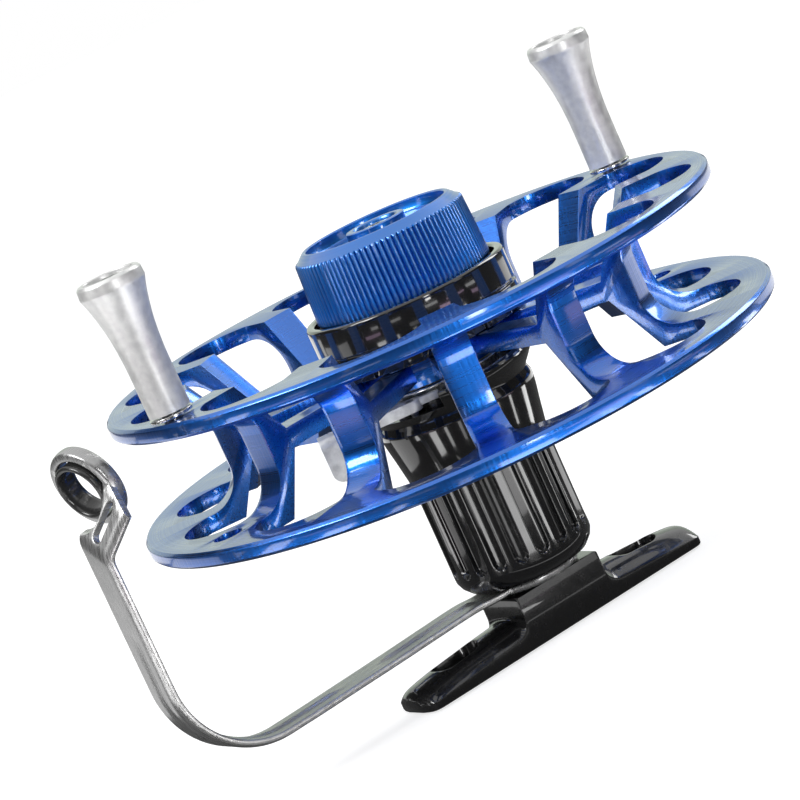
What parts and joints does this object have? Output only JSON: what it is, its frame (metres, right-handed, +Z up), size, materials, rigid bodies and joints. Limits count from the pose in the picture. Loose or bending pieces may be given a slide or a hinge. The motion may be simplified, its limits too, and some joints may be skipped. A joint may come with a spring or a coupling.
{
  "type": "hand-wound wheel reel",
  "caption": "Skeleton spool wound directly by two turned handles on a fluted body, with a slotted foot, a bent steel line-guide arm, a brake lever and a drag knob.",
  "frame": {"origin": "middle of the foot's flat underside, on the spool's axis", "axes": "+Z up along the spool's axis, +X along the foot, away from the line guide, +Y to the far side"},
  "size_m": [0.1177, 0.105, 0.0816],
  "materials": {
    "mounting_foot": "gloss black",
    "fluted_body": "gloss black",
    "drag_cup": "gloss black",
    "guide_arm": "satin stainless strip",
    "guide_ring": "dark polished ceramic insert",
    "steel": "ground steel",
    "washer": "bright washer",
    "spool": "blue anodised, turned",
    "drag_knob": "blue anodised, knurled",
    "drag_washer": "fibre friction material",
    "brake_lever": "satin silver",
    "handle": "satin silver, turned",
    "knob_nut": "turned brass"
  },
  "bodies": {
    "reel_frame": {"mounting_foot": "mounting_foot", "guide_arm": "guide_arm", "guide_ring": "guide_ring", "fluted_body": "fluted_body", "main_shaft": "steel", "shaft_end_screw": "steel", "lever_pin": "steel", "lower_bearing_inner_race": "steel", "upper_bearing_inner_race": "steel", "bearing_spacer": "steel", "pressure_plate": "steel"},
    "spool_assembly": {"spool": "spool", "drag_cup": "drag_cup", "cup_screw_1": "steel", "cup_screw_2": "steel", "cup_screw_3": "steel", "drag_washer": "drag_washer", "lower_bearing_outer_race": "steel", "upper_bearing_outer_race": "steel", "ratchet_wheel": "steel", "hub_washer": "washer", "handle_post_1": "steel", "handle_washer_1": "washer", "handle_post_2": "steel", "handle_washer_2": "washer"},
    "handle_one": {"handle_1": "handle"},
    "handle_two": {"handle_2": "handle"},
    "lever": {"brake_lever": "brake_lever"},
    "knob_carriage": {"spring_seat": "steel", "disc_spring_1": "steel", "disc_spring_2": "steel"},
    "knob": {"drag_knob": "drag_knob", "knob_nut": "knob_nut"}
  },
  "joints": [
    {"name": "spool_spin", "type": "hinge", "parent": "reel_frame", "child": "spool_assembly", "pos_m": [0, 0, 0.0478], "axis": [0, 0, 1], "continuous": true},
    {"name": "handle_1_spin", "type": "hinge", "parent": "spool_assembly", "child": "handle_one", "pos_m": [-0.04634, -0.00389, 0.0707], "axis": [0, 0, 1], "continuous": true},
    {"name": "handle_2_spin", "type": "hinge", "parent": "spool_assembly", "child": "handle_two", "pos_m": [0.04634, 0.00389, 0.0707], "axis": [0, 0, 1], "continuous": true},
    {"name": "brake_lever_pivot", "type": "hinge", "parent": "reel_frame", "child": "lever", "pos_m": [-0.00998, -0.00487, 0.0427], "axis": [0, 0, 1], "range_deg": [0, 10]},
    {"name": "knob_travel", "type": "slide", "parent": "reel_frame", "child": "knob_carriage", "axis": [0, 0, -1], "range_m": [0, 0.00075]},
    {"name": "knob_turn", "type": "hinge", "parent": "knob_carriage", "child": "knob", "pos_m": [0, 0, 0.064], "axis": [0, 0, -1], "range_deg": [0, 270]}
  ],
  "couplings": [
    {"joint": "knob_turn", "follows": "knob_travel", "rad_per_m": 6283.2}
  ]
}
